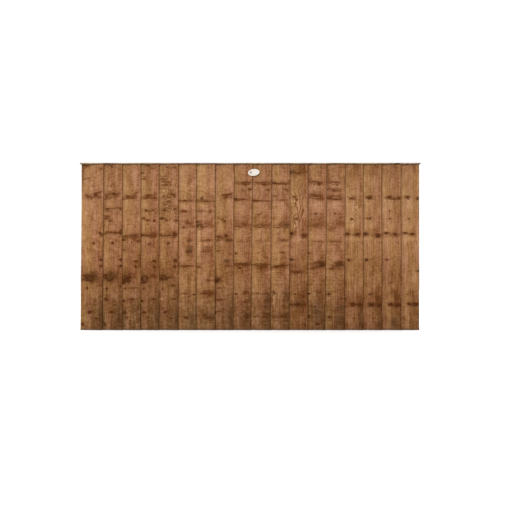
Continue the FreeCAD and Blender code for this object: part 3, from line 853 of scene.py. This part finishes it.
def box_corners(low, high, lie):
    """Corners of a square timber by face (front, back), end and side. It stands or lies on edge or flat."""
    size = high - low
    origin, across, along, inward = {
        "upright": (low, (size.x, 0, 0), (0, 0, size.z), (0, size.y, 0)),
        "on_edge": ((low.x, low.y, high.z), (0, 0, -size.z), (size.x, 0, 0), (0, size.y, 0)),
        "flat": ((low.x, high.y, high.z), (0, -size.y, 0), (size.x, 0, 0), (0, 0, -size.z)),
    }[lie]
    steps = np.array(np.meshgrid((0, 1), (0, 1), (0, 1), indexing="ij")).reshape(3, -1).T
    points = np.array(origin) + steps @ np.array((inward, along, across), float)
    return points.reshape(2, 2, 2, 3)


def cad_points(node):
    """The points of a CAD node's mesh."""
    return np.array([vertex.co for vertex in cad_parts[node].data.vertices])


def board_corners(node):
    """Corners of a feather-edge board's CAD solid by face (front, back), end (foot, top) and side."""
    points = cad_points(node)
    corners = np.zeros((2, 2, 2, 3))
    for end, level in enumerate((points[:, 2].min(), points[:, 2].max())):
        section = np.unique(points[np.abs(points[:, 2] - level) < SAME_LEVEL].round(6), axis=0)
        by_side = section[np.argsort(section[:, 0])]
        for side, pair in enumerate((by_side[:2], by_side[2:])):
            corners[:, end, side] = pair[np.argsort(pair[:, 1])]
    return corners


def nail_heads(node):
    """Middle of each nail's head in a CAD group of nails that were driven from the front."""
    points = cad_points(node)
    points = points[np.argsort(points[:, 0])]
    groups = np.split(points, np.where(np.diff(points[:, 0]) > NAILS_APART)[0] + 1)
    return [(group.min(0) + group.max(0)) / 2 for group in groups]


def sheet_quads(sheets):
    """Quads between the points of each sheet. A transposed sheet faces the other way."""
    corners = [(sheet[:-1, :-1], sheet[:-1, 1:], sheet[1:, 1:], sheet[1:, :-1]) for sheet in sheets]
    return np.concatenate([np.stack(quads, -1).reshape(-1, 4) for quads in corners])


def timber_faces(rows, columns):
    """Quads of a closed timber, whose front points come before its back points, and which are end grain."""
    points = np.arange(2 * rows * columns).reshape(2, rows, columns)
    sides = sheet_quads((points[0], points[1].T, points[:, :, -1].T, points[:, :, 0]))
    ends = sheet_quads((points[:, 0].T, points[:, -1]))
    return np.concatenate((sides, ends)), np.arange(len(sides) + len(ends)) >= len(sides)


def timber_mesh(name, faces, materials, fields):
    """An object with the points of a timber's front and back, both of which get the same attributes."""
    quads, is_end = timber_faces(*faces[0].shape[:2])
    mesh = bpy.data.meshes.new(name)
    mesh.from_pydata(np.concatenate([face.reshape(-1, 3) for face in faces]), [], quads.tolist())
    for material in materials:
        mesh.materials.append(material)
    mesh.polygons.foreach_set("material_index", is_end.astype(np.int32))
    for key, values in fields.items():
        both = np.concatenate((values, values)).astype(np.float32)
        is_vector = values.ndim == 3
        layer = mesh.attributes.new(key, "FLOAT_VECTOR" if is_vector else "FLOAT", "POINT")
        layer.data.foreach_set("vector" if is_vector else "value", both.ravel())
    mesh.shade_smooth()
    mesh.set_sharp_from_angle(angle=SMOOTH_ANGLE)
    mesh.update()
    piece = bpy.data.objects.new(name, mesh)
    bpy.context.scene.collection.objects.link(piece)
    return piece


def timber_size(corners):
    """Width and length of a timber's front, along its foot and its first edge."""
    return [np.linalg.norm(corner - corners[0, 0, 0]) for corner in (corners[0, 0, 1], corners[0, 1, 0])]


def timber(name, corners, materials, figure, tone, marks, draw, nails=(), arris=ARRIS):
    """One sawn timber: its corners' shape with worn arrises, uneven faces, ragged edges and knots."""
    random = np.random.default_rng(draw)
    width, length = timber_size(corners)
    columns = grid_lines(width, GRID_ACROSS, arris)
    rows = grid_lines(length, GRID_ALONG, END_ARRIS)
    share, rise = np.meshgrid(columns, rows)
    faces = []
    for ends in corners:
        foot, top = ((1 - share[..., None]) * left + share[..., None] * right for left, right in ends)
        faces.append((1 - rise[..., None]) * foot + rise[..., None] * top)
    inward = faces[1] - faces[0]
    inward /= np.linalg.norm(inward, axis=-1, keepdims=True)
    sideways = (corners[0, 0, 1] - corners[0, 0, 0]) / width
    fields = wood_fields(share * width, rise * length, marks, figure.seed)
    lightness = tone(share * width, rise * length, share, rise)
    fields["place"] = np.stack((share, faces[0][..., 2], lightness), -1)
    fields["figure"] = np.broadcast_to((figure.bars, figure.streaks, figure.mottle), share.shape + (3,))
    fields["grey"] = np.full_like(share, figure.grey)
    fields["gold"] = np.full_like(share, figure.gold)

    knot_relief = KNOT_RISE * np.exp(-fields["knot_range"] ** 2)
    wear = 1 + WEAR_SHARE * drift(random, rows, columns, *WEAR_CELLS)
    for side, (points, way) in enumerate(zip(faces, (1, -1))):
        depth = SKIN + SWELL * (1 + drift(random, rows, columns, *SWELL_CELLS)) / 2 + knot_relief
        if side == 0:
            for nail in nails:
                off = np.linalg.norm(points - nail, axis=-1)
                depth += NAIL_DIMPLE * np.exp(-(off / NAIL_DIMPLE_RADIUS) ** 2)
        depth[:, [0, -1]] += ARRIS_DROP * arris * wear[:, [0, -1]]
        depth[[0, -1], :] += END_ARRIS
        points += way * depth[..., None] * inward
    for column, way in ((0, 1), (-1, -1)):
        ragged = RAGGED_EDGE * (1 + drift(random, rows, columns, *RAGGED_CELLS)[:, 0]) / 2
        for points in faces:
            points[:, column] += way * ragged[:, None] * sideways
    return timber_mesh(name, faces, materials, fields)


def place_timber(piece, node):
    """The piece stands for its CAD node."""
    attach(piece, "root")
    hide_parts(node)


def random_marks(corners, draw):
    """A few knots scattered over a timber."""
    random = np.random.default_rng(draw)
    width, length = (size / MM for size in timber_size(corners))
    knots = []
    for _ in range(round(length / KNOT_SPACING)):
        size = random.uniform(LEAST_KNOT, GREATEST_KNOT * width)
        across = random.uniform(*KNOTS_ACROSS) * width
        height = random.uniform(*KNOTS_ALONG) * length
        half_length = size * random.uniform(*KNOT_LENGTHS)
        knots.append(Mark(across, height, half_length, size * random.uniform(*KNOT_HEIGHTS)))
    return Marks(knots, (), (), (), ())


def board_tone(lightness, sapwood, edge, patches):
    """How light a board is over its face: pale by its thin edge, with painted seam shade along its thick one
    and painted shade below the cap, and dark at its foot, partly by painted shade.
    """
    def tone(across, along, share, rise):
        width = across.max()
        sap_edge = SAPWOOD_START + sapwood + SAPWOOD_WANDER * np.sin(SAPWOOD_TURNS * along + sapwood)
        sap = 1 / (1 + np.exp((across / MM - sap_edge) / SAPWOOD_BLUR))
        # Painted seam shade along the thick edge; edge says how deep it is
        edges = edge * np.exp(-((width - across) / (SEAM_SHADE_WIDTH * MM)) ** 2)
        # low and FOOT_FALL darken the board towards its foot: partly damp, partly painted shade
        low = 1 / (1 + np.exp((rise - LOW_SHARE) / LOW_BLUR))
        # top: painted shade below the cap
        top = np.exp(-((1 - rise) / CAP_SHADE_SHARE) ** 2)
        level = BOARD_LEVEL + lightness + SAPWOOD_GAIN * sap - ACROSS_FALL * share - FOOT_FALL * (1 - rise)
        level = level - LOW_FALL * low - SEAM_SHADE_FALL * edges - CAP_SHADE_FALL * top
        for patch in patches:
            level += patch.change * HUNDREDTH * bell(patch, across, along)
        return level
    return tone


def plain_tone(level):
    """The same lightness all over a timber."""
    return lambda across, along, share, rise: np.full_like(share, level)


def make_boards(materials):
    """The boards, each with the marks of its tables and dished seats under its nails' heads."""
    tables = (BOARD_KNOTS, BOARD_STAINS, BOARD_GRIME_AND_SHADE, BOARD_WAVES, BOARD_FLECKS)
    heads = [head for group in ("top", "middle", "bottom") for head in nail_heads(group + "_rail_nails")]
    for number in range(1, BOARD_COUNT + 1):
        # edge: how deep the painted seam shade along the board's thick edge is
        baulk, lightness, sapwood, edge, gold = BOARD_TIMBER[number - 1]
        node = f"board_{number:02d}"
        low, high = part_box(node)
        marks = Marks(*([Mark(*mark) for mark in table.get(number, ())] for table in tables))
        patches = [Patch(*patch) for patch in BOARD_PATCHES[number]]
        nails = [(head[0], low.y, head[2]) for head in heads if low.x < head[0] < high.x]
        figure = BAULKS[baulk]
        figure = figure._replace(seed=figure.seed + SEED_STEP * number, gold=gold)
        tone = board_tone(lightness, sapwood, edge, patches)
        piece = timber(f"sawn_{node}", board_corners(node), materials, figure, tone, marks, number, nails)
        place_timber(piece, node)


def make_frame(materials):
    """The stiles and rails behind the boards."""
    for draw, (node, lie) in enumerate(FRAME_LIES.items(), start=FRAME_DRAW):
        corners = box_corners(*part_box(node), lie)
        marks = random_marks(corners, draw)
        figure = FRAME_FIGURE._replace(seed=FRAME_FIGURE.seed + draw)
        piece = timber(f"sawn_{node}", corners, materials, figure, plain_tone(FRAME_LEVEL), marks, draw)
        place_timber(piece, node)


def make_cap(materials):
    """The capping strip along the top."""
    corners = box_corners(*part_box("capping_strip"), "flat")
    marks = random_marks(corners, CAP_DRAW)
    piece = timber("planed_cap", corners, materials, CAP_FIGURE, plain_tone(CAP_LEVEL), marks, CAP_DRAW,
                   arris=CAP_ARRIS)
    place_timber(piece, "capping_strip")


def dress(nodes, material):
    """CAD nodes that keep their shape get a material."""
    for node in nodes:
        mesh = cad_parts[node].data
        mesh.materials.clear()
        mesh.materials.append(material)


def area_light(name, place, size, power):
    """A round soft light that looks at the panel."""
    light = bpy.data.lights.new(name, "AREA")
    light.shape = "DISK"
    light.size = size
    light.energy = power
    lamp = bpy.data.objects.new(name, light)
    lamp.location = place
    lamp.rotation_euler = (Vector(LIGHT_TARGET) - Vector(place)).to_track_quat("-Z", "Y").to_euler()
    bpy.context.scene.collection.objects.link(lamp)


def make_studio():
    """Pale floor, white surroundings, a soft key light in front to the left and above, and the camera."""
    quarters = ((-1, -1), (1, -1), (1, 1), (-1, 1))
    corners = [(x * FLOOR_REACH, y * FLOOR_REACH, -FLOOR_DROP) for x, y in quarters]
    floor_mesh = bpy.data.meshes.new("floor")
    floor_mesh.from_pydata(corners, [], [(0, 1, 2, 3)])
    floor_mesh.materials.append(studio_floor())
    floor = bpy.data.objects.new("floor", floor_mesh)
    bpy.context.scene.collection.objects.link(floor)

    world = bpy.data.worlds.new("studio")
    world.use_nodes = True
    background = world.node_tree.nodes["Background"]
    background.inputs["Color"].default_value = (1.0, 1.0, 1.0, 1.0)
    background.inputs["Strength"].default_value = WORLD_STRENGTH
    scene = bpy.context.scene
    scene.world = world
    scene.view_settings.view_transform = "Standard"
    for light in LIGHTS:
        area_light(*light)

    camera = bpy.data.cameras.new("camera")
    camera.lens = CAMERA_LENS
    camera.sensor_width = SENSOR_WIDTH
    stand = bpy.data.objects.new("camera", camera)
    stand.location = CAMERA_PLACE
    stand.rotation_euler = (math.radians(90), 0.0, 0.0)
    scene.collection.objects.link(stand)
    scene.camera = stand


def main():
    """Dresses the panel and sets up the studio."""
    end = end_grain()
    make_boards((treated_wood("board_wood", 1.0, seam_shade_depth=1.0), end))
    make_frame((treated_wood("frame_wood", 0.5), end))
    make_cap((treated_wood("cap_wood", 0.0, WEATHERED_TONES), end))
    nails = [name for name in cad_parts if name.endswith("_nails")]
    dress(nails, nail_steel("nail_steel", NAIL_ZINC, NAIL_RUST, shine=0.15, rough=0.75))
    dress(["plaque_pins"], nail_steel("pin_steel", PIN_STEEL, PIN_TARNISH, shine=0.2, rough=0.6))
    dress(["oval_plaque"], plaque_plastic())
    make_studio()


main()
